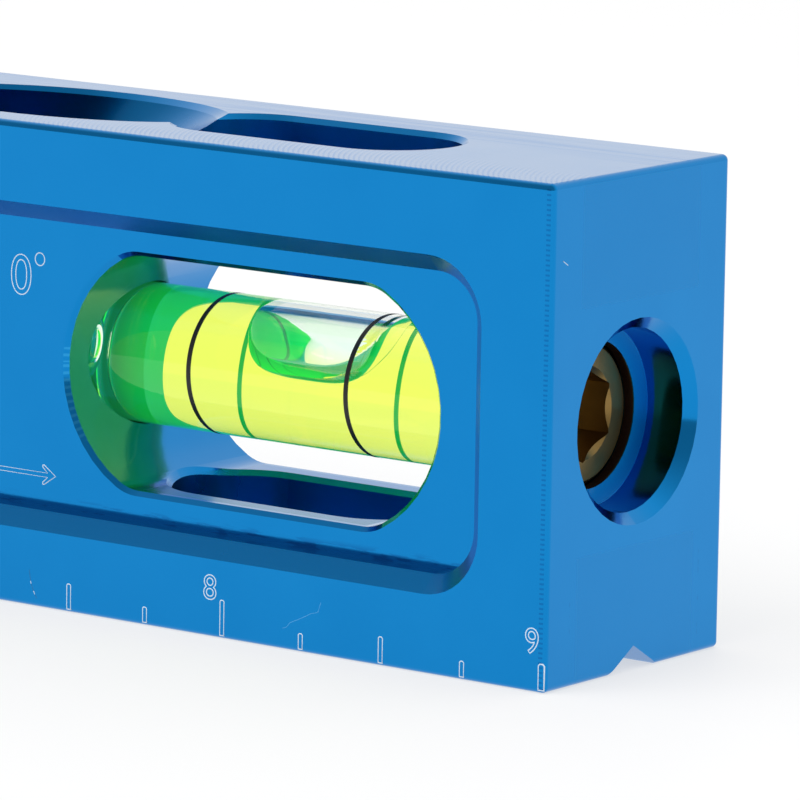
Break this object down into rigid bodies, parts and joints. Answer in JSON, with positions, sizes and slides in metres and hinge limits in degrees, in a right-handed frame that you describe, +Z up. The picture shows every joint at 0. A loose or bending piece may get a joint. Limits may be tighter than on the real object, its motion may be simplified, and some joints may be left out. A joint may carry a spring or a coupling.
{
  "type": "electrician level",
  "caption": "Short milled metal bar level with yellow spirit vials at level, sloped, mitre and plumb angles, a top reading slot, a pipe groove and a ruled edge.",
  "frame": {"origin": "middle of the underside, halfway along the bar", "axes": "+X along the bar towards the level vial and its end plug, -Y out of the ruled front face, +Z up"},
  "size_m": [0.2286, 0.019, 0.0318],
  "materials": {
    "anodised_bar": "blue anodised, milled",
    "magnet": "nickel plated",
    "clear_tube": "clear acrylic",
    "spirit": "clear yellow-green liquid",
    "black_line": "black paint",
    "brass_plug": "turned"
  },
  "bodies": {
    "root": {"bar": "anodised_bar", "magnet_1": "magnet", "magnet_2": "magnet", "magnet_3": "magnet", "magnet_4": "magnet", "magnet_5": "magnet", "vial_0_tube": "clear_tube", "vial_0_cap": "clear_tube", "vial_0_spirit": "spirit", "vial_0_lines": "black_line", "plug_0": "brass_plug", "vial_30_tube": "clear_tube", "vial_30_cap": "clear_tube", "vial_30_spirit": "spirit", "vial_30_lines": "black_line", "plug_30": "brass_plug", "vial_45_tube": "clear_tube", "vial_45_cap": "clear_tube", "vial_45_spirit": "spirit", "vial_45_lines": "black_line", "plug_45": "brass_plug", "vial_90_tube": "clear_tube", "vial_90_cap": "clear_tube", "vial_90_spirit": "spirit", "vial_90_lines": "black_line", "plug_90": "brass_plug"}
  },
  "joints": []
}
